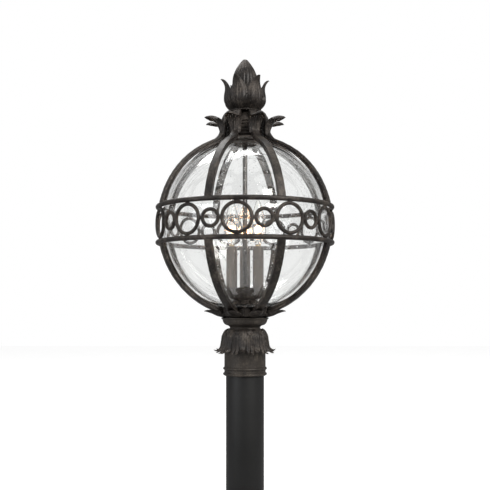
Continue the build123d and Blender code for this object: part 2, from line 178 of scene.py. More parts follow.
def ramp(tree, factor, stops):
    """Colour ramp from (position, colour) stops."""
    node = tree.nodes.new("ShaderNodeValToRGB")
    while len(node.color_ramp.elements) < len(stops):
        node.color_ramp.elements.new(0.5)
    for element, (position, colour) in zip(node.color_ramp.elements, stops):
        element.position = position
        element.color = (*colour, 1.0) if len(colour) == 3 else colour
    tree.links.new(factor, node.inputs["Fac"])
    return node.outputs["Color"]


def grey(level):
    """A grey colour."""
    return (level, level, level)


def bumps(tree, shader, heights):
    """Chain of bump nodes from (height output, depth in metres, strength) to the shader's normal."""
    normal = None
    for height, depth, strength in heights:
        node = tree.nodes.new("ShaderNodeBump")
        node.inputs["Distance"].default_value = depth
        node.inputs["Strength"].default_value = strength
        tree.links.new(height, node.inputs["Height"])
        if normal is not None:
            tree.links.new(normal, node.inputs["Normal"])
        normal = node.outputs["Normal"]
    tree.links.new(normal, shader.inputs["Normal"])


def mottled_finish(name, mottle, colours, sheens, grain, metallic=0.0, specular=0.5):
    """Finish that follows one noise in object space, given as (scale, detail, roughness). Its colour
    and its roughness run through (position, value) stops. grain is the (scale, detail) of a finer
    noise that makes bumps, then their depth and strength."""
    material, tree, shader, place = new_finish(name)
    level = noise(tree, place, *mottle)
    tree.links.new(ramp(tree, level, colours), shader.inputs["Base Color"])
    sheens = [(position, grey(sheen)) for position, sheen in sheens]
    tree.links.new(ramp(tree, level, sheens), shader.inputs["Roughness"])
    shader.inputs["Metallic"].default_value = metallic
    shader.inputs["Specular IOR Level"].default_value = specular
    grain_scale, grain_detail, depth, strength = grain
    bumps(tree, shader, [(noise(tree, place, grain_scale, grain_detail), depth, strength)])
    return material


# Satin black powder coat: fine orange peel, faint cloudiness in the sheen.
powder_coat = mottled_finish(
    "black_powder_coat", (9.0, 3.0), [(0.3, grey(0.009)), (0.7, grey(0.014))], [(0.25, 0.40), (0.75, 0.50)],
    (900.0, 2.0, 0.0002, 0.18), specular=0.32)
tube_outline = soft_corners([
    (post_radius, post_low[2]), (post_radius, post_high[2]),
    (post_radius - post_wall, post_high[2]), (post_radius - post_wall, post_low[2]),
], 0.0008)
turned_piece("post_column", tube_outline, powder_coat, "post_tube", "post")
paint_node("base_flange", powder_coat)

# ---- Fitter collar ----
# The turned iron collar slips over the post. Two rolled beads stiffen its lower edge, and three
# set screws between them grip the post. It carries the mottled bronze-black patina of the cage.
collar_low, collar_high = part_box("fitter_collar")
collar_base, collar_top = collar_low[2], collar_high[2]
bead_reach = 0.0026
collar_radius = collar_high[0] - bead_reach
slip_gap = 0.0004
collar_bore = post_radius + slip_gap
bead_levels = (0.003, 0.014)
rod_hole = 0.006
roof_thickness = 0.007


def arithmetic(tree, operation, *values):
    """Math node on other outputs and plain numbers."""
    node = tree.nodes.new("ShaderNodeMath")
    node.operation = operation
    for socket, value in zip(node.inputs, values):
        if isinstance(value, float):
            socket.default_value = value
        else:
            tree.links.new(value, socket)
    return node.outputs[0]


def patina(name, dark, mid, light, gloss=(0.42, 0.62), grain=1.0):
    """Mottled bronze-black patina on iron: three browns broken up at two scales, uneven sheen,
    a hammered swell and a sandy cast grain."""
    material, tree, shader, place = new_finish(name)
    broad = noise(tree, place, 34.0, 5.0, 0.62)
    fine = noise(tree, place, 260.0, 4.0, 0.7)
    blend = arithmetic(tree, "MULTIPLY_ADD", fine, 0.45, arithmetic(tree, "MULTIPLY", broad, 0.55))
    colour = ramp(tree, blend, [(0.36, dark), (0.50, mid), (0.64, light)])
    tree.links.new(colour, shader.inputs["Base Color"])
    sheen = ramp(tree, broad, [(0.3, grey(gloss[0])), (0.7, grey(gloss[1]))])
    tree.links.new(sheen, shader.inputs["Roughness"])
    shader.inputs["Metallic"].default_value = 0.25
    shader.inputs["Specular IOR Level"].default_value = 0.4
    bumps(tree, shader, [
        (noise(tree, place, 70.0, 2.0), 0.0012 * grain, 0.5),
        (fine, 0.0005 * grain, 0.45),
        (noise(tree, place, 1100.0, 2.0), 0.00015 * grain, 0.4),
    ])
    return material


iron_patina = patina("iron_patina", (0.006, 0.005, 0.0045), (0.026, 0.021, 0.018), (0.090, 0.075, 0.062))
plain_patina = patina(
    "turned_patina", (0.022, 0.018, 0.015), (0.042, 0.035, 0.029), (0.078, 0.065, 0.052), grain=0.45)


def bead_arc(level, steps=10):
    """Half circle of a bead that stands out of the collar's side."""
    swing = np.linspace(-math.pi / 2, math.pi / 2, steps)
    return [(collar_radius + bead_reach * math.cos(a), level + bead_reach * math.sin(a)) for a in swing]


collar_outline = [(collar_bore, collar_base)]
collar_outline += [(collar_radius, collar_base)]
for bead_level in bead_levels:
    collar_outline += bead_arc(collar_base + bead_level)
collar_outline += soft_corners([
    (collar_radius, collar_top), (rod_hole, collar_top), (rod_hole, collar_top - roof_thickness),
    (collar_bore, collar_top - roof_thickness),
], 0.0006).tolist()
turned_piece("collar", collar_outline, plain_patina, "fitter_collar")

# ---- Leaf skirt over the collar ----
# A cast core sits on the collar's roof, and ten acanthus leaves are brazed round it. They hang
# over the collar with their tips curled out. The leaves are thin castings with raised veins.
skirt_low, skirt_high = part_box("skirt_core")
skirt_radius = skirt_high[0]
skirt_foot, skirt_head = skirt_low[2], skirt_high[2]
skirt_leaf_count = 10
skirt_leaf_turn = math.radians(-96.0)
rib_count = 8
rib_turn = math.radians(22.5)


def smooth_path(points, count):
    """Points evenly spread in parameter on a Catmull-Rom curve through the given points."""
    points = np.asarray(points, float)
    if points.ndim == 1:
        points = points[:, None]
    padded = np.vstack([2 * points[0] - points[1], points, 2 * points[-1] - points[-2]])
    place = np.linspace(0.0, len(points) - 1 - 1e-9, count)
    span = place.astype(int)
    t = (place - span)[:, None]
    a, b, c, d = (padded[span + k] for k in range(4))
    curve = 0.5 * (2 * b + (c - a) * t + (2 * a - 5 * b + 4 * c - d) * t ** 2
                   + (3 * b - a - 3 * c + d) * t ** 3)
    return curve[:, 0] if curve.shape[1] == 1 else curve


def turn_about_z(grid, angle):
    """A copy of a grid turned about Z."""
    c, s = math.cos(angle), math.sin(angle)
    return grid @ np.array([[c, s, 0], [-s, c, 0], [0, 0, 1]])


def round_the_axis(grid, count, start):
    """Equal copies of a grid, spaced round Z."""
    return [turn_about_z(grid, start + 2 * math.pi * k / count) for k in range(count)]


def leaf_grid(spine, widths, arch=0.3, face=1, notch=0.0, lobes=3.0, thickness=0.0022,
              ridges=0.0005, rows=84, half_columns=18):
    """Leaf in the XZ plane, closed and thick, running along a (radius, height) spine with its width
    given along the way. Its face is on the right of the way it runs, or on the left where face is -1.
    A point at place t across, from -1 to 1, slides forward with the square of t,
    drops behind the face by arch times its offset times t squared, and rises on a middle vein and on
    three ridges that run lengthwise each side. A notch cuts the edge back between lobes and dies out
    at the tip.
    The back is the same sheet set in by the thickness, which thins to the edges."""
    s = np.linspace(0.0, 1.0, rows)
    dense = smooth_path(spine, 400)
    dense_s = np.linspace(0.0, 1.0, 400)
    width = np.interp(s, dense_s, smooth_path(widths, 400))
    wave = np.abs(np.sin(math.pi * lobes * np.clip(s / 0.8, 0, 1)))
    depth_of_notch = notch * np.clip(1.15 - s / 0.8, 0, 1)
    half = 0.5 * np.maximum(width, 0.0007) * (1 - depth_of_notch * (1 - wave) ** 2)
    t = np.linspace(-1.0, 1.0, 2 * half_columns + 1)
    forward = np.clip(s[:, None] + 0.06 * (t[None, :] ** 2) * s[:, None] * (1 - s[:, None]), 0, 1)
    centre = np.stack([np.interp(forward, dense_s, dense[:, k]) for k in (0, 1)], -1)
    along = np.gradient(dense, axis=0)
    along /= np.linalg.norm(along, axis=1, keepdims=True)
    out = np.stack([np.interp(forward, dense_s, k) for k in (along[:, 1], -along[:, 0])], -1)
    out *= face / np.linalg.norm(out, axis=-1, keepdims=True)
    arch = np.interp(s, np.linspace(0.0, 1.0, np.size(arch)), np.atleast_1d(arch))[:, None]
    side = half[:, None] * t[None, :]
    fade = (np.clip(half / half.max(), 0, 1) * (1 - s) ** 0.25)[:, None]
    vein = 1.6 * ridges * np.exp(-(t / 0.10) ** 2)[None, :]
    grooves = ridges * np.cos(6.5 * math.pi * np.abs(t))[None, :]
    lift = -arch * np.abs(side) * (t ** 2)[None, :] + (vein + grooves) * fade
    depth = 0.5 * thickness * (1 - 0.75 * t ** 4)[None, :] * np.clip(half / 0.004, 0.35, 1)[:, None]

    def sheet(level):
        flat = centre + out * level[..., None]
        return np.stack([flat[..., 0], side, flat[..., 1]], -1)

    front, back = sheet(lift + depth), sheet(lift - depth)
    grid = np.concatenate([front, back[:, ::-1]], axis=1)
    return grid if face > 0 else grid[:, ::-1]


skirt_core_shape = smooth_path(raised(skirt_foot, [
    (collar_radius, 0.0), (skirt_radius - 0.001, 0.008), (skirt_radius - 0.002, 0.017), (0.040, 0.027),
]) + [(0.036, skirt_head)], 24)
core_outline = bored(skirt_core_shape, rod_hole, skirt_foot, skirt_head)
turned_piece("skirt_bell", core_outline, iron_patina, "skirt_core")
skirt_spine = raised(skirt_head, [(0.0352, 0.0005), (0.0408, -0.0040), (0.0456, -0.0130)])
skirt_spine += raised(skirt_foot, [
    (0.0474, 0.0095), (0.0494, -0.0015), (0.0530, -0.0075), (0.0585, -0.0098), (0.0635, -0.0085),
])
skirt_widths = [0.014, 0.022, 0.026, 0.0250, 0.0175, 0.0115, 0.0060, 0.0012]
lobe_spine = raised(skirt_head, [(0.0405, -0.0065), (0.0447, -0.0140)])
lobe_spine += raised(skirt_foot, [
    (0.0465, 0.0070), (0.0488, -0.0045), (0.0525, -0.0115), (0.0560, -0.0145), (0.0585, -0.0150),
])
lobe_widths = [0.005, 0.0105, 0.0125, 0.0100, 0.0065, 0.0035, 0.0010]
skirt_leaf = leaf_grid(skirt_spine, skirt_widths, arch=0.62, face=-1, notch=0.45, lobes=2.0, ridges=0.0003)
skirt_lobe = leaf_grid(lobe_spine, lobe_widths, arch=0.60, face=-1, ridges=0.0002, rows=60,
                       half_columns=12)
skirt_step = 2 * math.pi / skirt_leaf_count
skirt_grids = round_the_axis(skirt_leaf, skirt_leaf_count, skirt_leaf_turn)
for lean in (-0.36, 0.36):
    skirt_grids += round_the_axis(skirt_lobe, skirt_leaf_count, skirt_leaf_turn + lean * skirt_step)
make_piece("skirt_acanthus", skirt_grids, iron_patina, "lantern", ["skirt_leaves"])

# ---- Waist and cup ----
# A turned waist ring carries a shallow cup, cast with upright panels and a thin rolled lip. They
# are threaded on the centre rod between the skirt and the cage's hub.
waist_low, waist_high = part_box("waist_ring")
cup_low, cup_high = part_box("cup")
cup_radius = cup_high[0]
cup_panels = 16


def panel_grooves(outline, angle):
    """Narrow upright grooves between panels, deepest half way up the bowl and gone at the lip."""
    level = (outline[:, 1] - cup_low[2]) / (cup_high[2] - cup_low[2])
    depth = 0.0011 * np.clip(np.sin(math.pi * np.clip(level / 0.78, 0, 1)), 0, 1)
    depth = np.where(outline[:, 0] > 0.03, depth, 0.0)
    groove = np.exp(-(np.sin(cup_panels * angle / 2) / 0.16) ** 2)
    return -depth[:, None] * groove[None, :]


waist_shape = smooth_path([
    (0.0330, waist_low[2]), (0.0305, waist_low[2] + 0.0025), (0.0312, waist_low[2] + 0.005),
    (0.0335, waist_high[2]),
], 14)
waist_outline = bored(waist_shape, rod_hole, waist_low[2], waist_high[2])
turned_piece("waist", waist_outline, plain_patina, "waist_ring")
cup_bowl = smooth_path([
    (0.0335, cup_low[2]), (0.0395, cup_low[2] + 0.0022), (0.0435, cup_low[2] + 0.0065),
    (0.0452, cup_high[2] - 0.0045),
], 26)
cup_lip = soft_corners([(0.0452, cup_high[2] - 0.004), (cup_radius, cup_high[2] - 0.003),
                        (cup_radius, cup_high[2] - 0.0004), (0.044, cup_high[2] - 0.0004)], 0.0009)
cup_outline = bored(np.vstack([cup_bowl, cup_lip[3:]]), rod_hole, cup_low[2], cup_high[2] - 0.001)
turned_piece("cup_bowl", cup_outline, plain_patina, "cup", sides=384, flutes=panel_grooves)

# ---- Cage: hub, lower ribs, rails ----
# Forged flat ribs, each a wide outer bar on a narrower liner with a shadow groove between, rise from
# the hub and are welded under the lower rail. The two rails are rolled from round bar.
hub_low, hub_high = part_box("lower_hub")
hub_radius = hub_high[0]
cage_radius = 0.1815
rib_depth = 0.0105
rib_middle = cage_radius - rib_depth / 2
rail_low, rail_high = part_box("lower_rail")
rail_bar = (rail_high[2] - rail_low[2]) / 2
rail_radius = rail_high[0] - rail_bar
lower_rail_z = (rail_high[2] + rail_low[2]) / 2
upper_rail_z = (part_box("upper_rail")[0][2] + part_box("upper_rail")[1][2]) / 2
band_z = (lower_rail_z + upper_rail_z) / 2
half_stretch = 0.00275
lower_centre = band_z - half_stretch
upper_centre = band_z + half_stretch

RIB_SECTION = soft_corners([
    (0.00525, -0.0075), (0.00525, 0.0075), (0.00005, 0.0075), (0.00005, 0.0046), (-0.0016, 0.0046),
    (-0.0016, 0.0060), (-0.00525, 0.0060), (-0.00525, -0.0060), (-0.0016, -0.0060), (-0.0016, -0.0046),
    (0.00005, -0.0046), (0.00005, -0.0075),
], 0.0009, 3)


def swept_bar(path, section):
    """Bar in the XZ plane: the (outward, sideways) section is carried square to the path."""
    path = np.asarray(path, float)
    along = np.gradient(path, axis=0)
    along /= np.linalg.norm(along, axis=1, keepdims=True)
    out = np.stack([along[:, 1], -along[:, 0]], -1)
    flat = path[:, None, :] + out[:, None, :] * section[None, :, :1]
    side = np.broadcast_to(section[None, :, 1], flat.shape[:2])
    return np.stack([flat[..., 0], side, flat[..., 1]], -1)


def forged(grid, size=0.00022, seed=1.0):
    """Small uneven swells of a hammered bar: three crossed sine waves along it, by place."""
    x, y, z = grid[..., 0], grid[..., 1], grid[..., 2]
    swell = (np.sin(x * 310 + seed) * np.sin(z * 270 + 2 * seed) + np.sin(z * 530 + y * 240 + 3 * seed)
             + np.sin((x + z) * 170 - y * 420 + seed))
    moved = grid.copy()
    moved[..., 0] += size * swell * 0.5
    moved[..., 2] += size * np.roll(swell, 1, axis=0) * 0.5
    moved[..., 1] *= 1 + 0.02 * np.sin(z * 390 + x * 350 + seed)
    return moved


def arc_path(centre, radius, start, end, count):
    """(radius, height) points on an arc about a centre, angles in radians."""
    angle = np.linspace(start, end, count)
    return np.stack([centre[0] + radius * np.cos(angle), centre[1] + radius * np.sin(angle)], -1)


def rail_grid(height, seed):
    """Rolled round bar bent to a full circle, with slight hammered swells along it."""
    tube = whole_turn(20)
    outline = np.stack([rail_radius + rail_bar * np.cos(tube), height + rail_bar * np.sin(tube)], -1)
    grid = turned_grid(outline, 320)
    angle = np.arctan2(grid[..., 1], grid[..., 0])
    swell = 1 + 0.00035 * (np.sin(angle * 23 + seed) + np.sin(angle * 41 + 2 * seed)) * 0.5
    grid[..., :2] *= (np.minimum(swell, 1.0))[..., None]
    return grid


hub_outline = soft_corners([
    (rod_hole, hub_low[2]), (hub_radius - 0.005, hub_low[2]), (hub_radius, hub_low[2] + 0.004),
    (hub_radius, hub_high[2] - 0.002), (hub_radius - 0.002, hub_high[2]), (rod_hole, hub_high[2]),
], 0.0008)
turned_piece("cage_hub", hub_outline, iron_patina, "lower_hub")
rib_foot = -math.acos((hub_radius - 0.0015) / rib_middle)
rib_head = -math.asin((lower_centre - lower_rail_z + 0.001) / rib_middle)
lower_rib = forged(swept_bar(arc_path((0, lower_centre), rib_middle, rib_foot, rib_head, 70), RIB_SECTION))
make_piece("lower_rib_bars", round_the_axis(lower_rib, rib_count, rib_turn), iron_patina, "lantern",
           ["lower_ribs"], sharp=55)
make_piece("lower_rail_bar", [rail_grid(lower_rail_z, 0.4)], iron_patina, "lantern",
           ["lower_rail"], closed_rows=True)
make_piece("upper_rail_bar", [rail_grid(upper_rail_z, 1.7)], iron_patina, "lantern",
           ["upper_rail"], closed_rows=True)

# ---- Lower leaves ----
# Eight cast acanthus leaves hug the underside of the ribs where they leave the hub, brazed to it,
# and let their tips droop free. Shorter leaves stand in the gaps between them.
cup_top = cup_high[2]
under_rib_spine = raised(cup_top, [
    (0.0400, 0.0025), (0.0480, 0.0028), (0.0580, 0.0050), (0.0690, 0.0092), (0.0780, 0.0120),
    (0.0835, 0.0130), (0.0868, 0.0126),
])
under_rib_widths = [0.026, 0.030, 0.029, 0.021, 0.0125, 0.0065, 0.0012]
under_rib_leaf = leaf_grid(under_rib_spine, under_rib_widths, arch=0.40, notch=0.30, lobes=3.0)
between_spine = raised(cup_top, [
    (0.0405, 0.002), (0.0470, 0.0045), (0.0520, 0.0120), (0.0545, 0.0190), (0.0590, 0.0215),
    (0.0615, 0.0195),
])
between_leaf = leaf_grid(between_spine, [0.022, 0.026, 0.022, 0.015, 0.008, 0.0015], arch=0.25,
                         notch=0.30, rows=60)
make_piece("hub_acanthus", round_the_axis(under_rib_leaf, rib_count, rib_turn)
           + round_the_axis(between_leaf, rib_count, 0.0), iron_patina, "lantern",
           ["lower_leaves"])

# ---- Band of rings ----
# Eleven large and eleven small rings of round bar fill the band between the rails. Each is bent
# round, welded to its neighbours, and the large ones to both rails. The welds show as small beads.
ring_pairs = 11
ring_bar = 0.0035
ring_start = math.radians(-94.8)
ring_step = 2 * math.pi / ring_pairs
large_low, large_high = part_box("band_rings_large")
small_low, small_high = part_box("band_rings_small")
large_ring = (large_high[2] - large_low[2]) / 2 - ring_bar
small_ring = (small_high[2] - small_low[2]) / 2 - ring_bar


def band_ring(radius, angle, seed):
    """Ring of round bar standing square to the radius, a little uneven as hand-bent bar is."""
    turn = whole_turn(64)[:, None]
    tube = whole_turn(14)[None, :]
    reach = radius + ring_bar * np.cos(tube) - 0.00012 * (1 + np.sin(3 * turn + seed))
    grid = np.stack([
        rail_radius + ring_bar * np.sin(tube) * np.ones_like(turn), reach * np.cos(turn),
        band_z + reach * np.sin(turn),
    ], -1)
    return turn_about_z(grid, angle)


def weld_bead(centre, size, seed):
    """Lumpy weld: a ball squashed to the size, its radius rippled by two sine waves."""
    polar = np.linspace(0.08, math.pi - 0.08, 10)[:, None]
    turn = whole_turn(16)[None, :]
    ripple = 1 + 0.10 * np.sin(3 * turn + seed) * np.sin(polar * 3) + 0.06 * np.sin(5 * polar + seed)
    grid = np.stack([
        size[0] * ripple * np.sin(polar) * np.cos(turn), size[1] * ripple * np.sin(polar) * np.sin(turn),
        -size[2] * ripple * np.cos(polar) * np.ones_like(turn),
    ], -1)
    return grid + np.asarray(centre)


large_grids = [band_ring(large_ring, ring_start + ring_step * k, k) for k in range(ring_pairs)]
small_grids = [band_ring(small_ring, ring_start + ring_step * (k + 0.5), k + 0.5) for k in range(ring_pairs)]
make_piece("large_band_rings", large_grids, iron_patina, "lantern",
           ["band_rings_large"], closed_rows=True)
make_piece("small_band_rings", small_grids, iron_patina, "lantern",
           ["band_rings_small"], closed_rows=True)
welds = []
rail_weld = large_ring + ring_bar
side_turn = math.atan(large_ring / rail_radius) + 0.35 * ring_bar / rail_radius * 2
for k in range(ring_pairs):
    middle_turn = ring_start + ring_step * k
    for up in (-1, 1):
        on_rail = (rail_radius, 0, band_z + up * (rail_weld - 0.0003))
        bead = weld_bead(on_rail, (0.0034, 0.0050, 0.0019), k + up)
        welds.append(turn_about_z(bead, middle_turn))
        bead = weld_bead((rail_radius + 0.0012, 0, band_z), (0.0034, 0.0026, 0.0040), k - up)
        welds.append(turn_about_z(bead, middle_turn + up * side_turn))
make_piece("band_welds", welds, iron_patina, "lantern")

# ---- Seal and lamp cluster ----
# A black rubber bed ring carries the glass on the lower ribs. Above the hub a leafy cast rosette
# and a turned bowl are threaded on the rod, and three brass candle sleeves stand in the bowl.
gasket_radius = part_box("lower_gasket")[1][0]
rosette_low, rosette_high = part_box("rosette")
bowl_low, bowl_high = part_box("cluster_bowl")
sleeve_low, sleeve_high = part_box("lamp_sleeve_1")
sleeve_radius = (sleeve_high[0] - sleeve_low[0]) / 2
lamp_circle = (sleeve_high[1] + sleeve_low[1]) / 2
lamp_turns = [math.radians(90 + 120 * k) for k in range(3)]
glass_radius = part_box("globe")[1][0]


def at_lamp(grid, index):
    """A grid made on the Z axis, moved out to one lamp's place."""
    turn = lamp_turns[index]
    return grid + np.array([lamp_circle * math.cos(turn), lamp_circle * math.sin(turn), 0.0])


def lamp_piece(name, index, grid, material, nodes=(), body="lantern"):
    """One lamp's copy of a part made on the Z axis. Its name and its CAD node take the lamp's number."""
    number = str(index + 1)
    nodes = [node + number for node in nodes]
    make_piece(name + number, [at_lamp(grid, index)], material, body, nodes, closed_rows=True)


# Black rubber: soft even sheen, fine dust and a mould's grain.
seal_rubber = mottled_finish(
    "seal_rubber", (140.0, 4.0), [(0.4, grey(0.012)), (0.75, grey(0.03))], [(0.0, 0.7), (1.0, 0.7)],
    (1500.0, 2.0, 0.0001, 0.4))
bed_inner_edge = 0.0455
bed_middle = glass_radius + 0.0012
bed_start = -math.acos((gasket_radius - 0.0004) / bed_middle)
bed_end = -math.acos(bed_inner_edge / bed_middle)
bed_inner = arc_path((0, lower_centre), glass_radius + 0.0005, bed_start, bed_end, 14)
bed_outer = arc_path((0, lower_centre), glass_radius + 0.0026, bed_start, bed_end, 14)[::-1]
bed_shape = np.vstack([bed_inner, bed_outer])[::-1]
turned_piece("globe_bed_seal", bed_shape, seal_rubber, "lower_gasket")


def leafy_edge(outline, angle):
    """Eight pointed lobes round the rosette, widest at its middle height, veined down each lobe."""
    level = (outline[:, 1] - rosette_low[2]) / (rosette_high[2] - rosette_low[2])
    reach = np.where(outline[:, 0] > 0.015, np.sin(math.pi * np.clip(level, 0, 1)), 0.0)
    lobe = np.abs(np.cos(4 * angle)) ** 0.6 + 0.12 * np.cos(24 * angle)
    return reach[:, None] * 0.0075 * (lobe[None, :] - 1.1)


rosette_shape = smooth_path(raised(rosette_low[2], [
    (0.021, 0.0), (0.0275, 0.0025), (0.0338, 0.0063), (0.0290, 0.0095),
]) + [(0.0220, rosette_high[2])], 24)
rosette_outline = bored(rosette_shape, rod_hole, rosette_low[2], rosette_high[2])
turned_piece("lamp_rosette", rosette_outline, iron_patina, "rosette", sides=256,
             flutes=leafy_edge)
bowl_base, bowl_top = bowl_low[2], bowl_high[2]
bowl_side = smooth_path(raised(bowl_base, [
    (0.0220, 0.0), (0.0310, 0.0042), (0.0365, 0.0105), (0.0395, 0.0170),
]) + [(0.0408, bowl_top - 0.0035)], 26)
bowl_lip = soft_corners([(0.0408, bowl_top - 0.0032), (bowl_high[0], bowl_top - 0.0026),
                         (bowl_high[0], bowl_top), (0.0405, bowl_top)], 0.0008)
bowl_outline = bored(np.vstack([bowl_side, bowl_lip[3:]]), rod_hole, bowl_base, bowl_top)


def bowl_flutes(outline, angle):
    """Twenty four shallow gadroons round the bowl's side, gone at the lip."""
    level = np.clip((outline[:, 1] - bowl_base) / (bowl_top - bowl_base), 0, 1)
    depth = np.where(outline[:, 0] > 0.021, 0.0009 * np.sin(math.pi * np.clip(level / 0.86, 0, 1)), 0)
    return -depth[:, None] * (1 - np.abs(np.sin(12 * angle)))[None, :]


turned_piece("candle_bowl", bowl_outline, iron_patina, "cluster_bowl", sides=288,
             flutes=bowl_flutes)
sleeve_foot, sleeve_top = sleeve_low[2], sleeve_high[2]


def candle_patina():
    """Antique bronze on the sleeves: warm brown with streaks run down and a soft sheen."""
    material, tree, shader, place = new_finish("candle_patina")
    stretch = tree.nodes.new("ShaderNodeMapping")
    stretch.inputs["Scale"].default_value = (1.0, 1.0, 0.12)
    tree.links.new(place, stretch.inputs["Vector"])
    streak = noise(tree, stretch.outputs["Vector"], 320.0, 5.0, 0.6)
    colour = ramp(tree, streak, [(0.3, (0.030, 0.023, 0.018)), (0.55, (0.066, 0.052, 0.041)),
                                 (0.8, (0.12, 0.092, 0.070))])
    tree.links.new(colour, shader.inputs["Base Color"])
    tree.links.new(ramp(tree, streak, [(0.3, grey(0.35)), (0.8, grey(0.55))]), shader.inputs["Roughness"])
    shader.inputs["Metallic"].default_value = 0.35
    bumps(tree, shader, [(streak, 0.00025, 0.4), (noise(tree, place, 900.0), 0.0001, 0.3)])
    return material


candle_finish = candle_patina()
sleeve_wall = 0.0009
sleeve_outline = soft_corners([
    (sleeve_radius, sleeve_foot), (sleeve_radius, sleeve_top), (sleeve_radius - sleeve_wall, sleeve_top),
    (sleeve_radius - sleeve_wall, sleeve_foot),
], 0.0003)
wave_sizes = (0.9, -0.5, 0.65, -0.8)


def drawn_waves(outline, angle):
    """Faint lengthwise unevenness of a drawn sleeve: four crossed waves, under 0.1 mm."""
    wave = sum(size * np.sin((k + 2) * angle + k) for k, size in enumerate(wave_sizes))
    return -0.00002 * (wave + 3.0)[None, :] * np.ones((len(outline), 1))


sleeve_grid = turned_grid(sleeve_outline, 48, drawn_waves)
for index in range(3):
    lamp_piece("candle_sleeve_", index, sleeve_grid, candle_finish, ["lamp_sleeve_"])

# ---- Lamp holders ----
# Inside each sleeve a black bakelite holder stands on a threaded stem. Its screwed brass mouth
# takes the lamp's base. The moulding has ribs for grip round its upper half.
socket_low, socket_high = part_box("lamp_socket_1")
socket_radius = (socket_high[0] - socket_low[0]) / 2
socket_top = socket_high[2]
holder_height = 0.058
socket_foot = sleeve_top - holder_height
base_low, base_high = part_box("bulb_base_1")
base_radius = (base_high[0] - base_low[0]) / 2


def grip_ribs(outline, angle):
    """Eighteen ribs round the holder's upper half."""
    upper = (outline[:, 1] > socket_foot + 0.025) & (outline[:, 0] > base_radius + 0.002)
    upper = upper & (outline[:, 1] < socket_top - 0.002)
    return -0.0006 * upper[:, None] * (np.cos(18 * angle) < 0)[None, :]


# Brown-black bakelite: a marbled sheen and fine mould grain.
bakelite_black = mottled_finish(
    "bakelite", (120.0, 5.0, 0.7), [(0.35, (0.010, 0.008, 0.007)), (0.7, (0.028, 0.020, 0.016))],
    [(0.3, 0.22), (0.7, 0.42)], (800.0, 4.0, 0.0001, 0.3))
bore_radius = base_radius + 0.0003
socket_outline = np.array([
    (0.0006, socket_low[2]), (0.0030, socket_low[2]), (0.0030, socket_foot), (0.0075, socket_foot),
    (socket_radius, socket_foot + 0.002), (socket_radius, socket_foot + 0.024),
    (socket_radius, socket_foot + 0.0255), (socket_radius, socket_top - 0.0025),
    (socket_radius, socket_top - 0.0012), (socket_radius - 0.001, socket_top),
    (bore_radius + 0.0006, socket_top),
    (bore_radius, socket_top - 0.0006), (bore_radius, base_low[2] - 0.0038), (0.0006, base_low[2] - 0.0038),
])
socket_grid = turned_grid(socket_outline, 108, grip_ribs)
for index in range(3):
    lamp_piece("lamp_holder_", index, socket_grid, bakelite_black, ["lamp_socket_"])

# ---- Centre rod, nuts and set screws ----
# One steel rod runs from under the collar's roof up through hub, bowl, globe and dome to the
# finial. Hexagon nuts clamp the stack at both ends. Cut steel, darkened with oil.
rod_low, rod_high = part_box("centre_rod")
rod_radius = rod_high[0]
thread_depth = 0.00035
thread_pitch = 0.0015


def threaded_rod(foot, top, thread_top, radius):
    """Rod with a thread at each end: rows every third of a pitch, the root cut in on one in three."""
    rows = [(0.0004, foot)]
    lower = np.arange(foot, foot + 0.020, thread_pitch / 3)
    upper = np.arange(thread_top, top, thread_pitch / 3)
    for k, z in enumerate(np.concatenate([lower, upper])):
        rows.append((radius - (thread_depth if k % 3 == 0 else 0.0), z))
    rows += [(radius - thread_depth, top), (0.0004, top)]
    return np.array(rows)


def hex_nut(bottom, top, across, bore):
    """Hexagon nut with chamfered faces: the hexagon's radius for each angle, cut back to a circle at
    top and bottom."""
    flat = across * math.cos(math.pi / 6)
    outline = np.array([(bore, bottom), (flat * 0.97, bottom), (across, bottom + 0.0011),
                        (across, top - 0.0011),
                        (flat * 0.97, top), (bore, top)])

    def sides(rows, angle):
        wrapped = (angle + math.pi / 6) % (math.pi / 3) - math.pi / 6
        hexagon = flat / np.cos(wrapped)
        wanted = np.minimum(rows[:, :1], hexagon[None, :])
        return np.where(rows[:, :1] > bore * 1.05, wanted - rows[:, :1], 0.0)

    return turned_grid(outline, 96, sides)


# Oil-darkened steel: smoky mottling in its colour and sheen.
steel = mottled_finish(
    "dark_steel", (180.0, 5.0, 0.65), [(0.35, (0.030, 0.028, 0.027)), (0.7, (0.105, 0.098, 0.090))],
    [(0.3, 0.30), (0.7, 0.52)], (1300.0, 3.0, 0.0001, 0.4), metallic=0.8)
rod_outline = threaded_rod(rod_low[2], rod_high[2], rod_high[2] - 0.024, rod_radius)
turned_piece("threaded_centre_rod", rod_outline, steel, "centre_rod", sides=40)
nuts = []
for node in ("rod_nut_lower", "rod_nut_upper"):
    nut_low, nut_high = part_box(node)
    nuts.append(hex_nut(nut_low[2], nut_high[2], 0.009, rod_radius - 0.0001))
make_piece("clamp_nuts", nuts, steel, "lantern", ["rod_nut_lower", "rod_nut_upper"],
           closed_rows=True)
paint_node("set_screws", steel)

# ---- Lamps ----
# Three clear candelabra lamps: a blown torpedo of thin glass on a rolled screw base with a solder
# contact, and inside it a glass stem with a glowing filament looped between two support wires.
bulb_low, bulb_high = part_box("bulb_glass_1")
bulb_radius = (bulb_high[0] - bulb_low[0]) / 2
bulb_foot, bulb_top = bulb_low[2], bulb_high[2]
bulb_height = bulb_top - bulb_foot


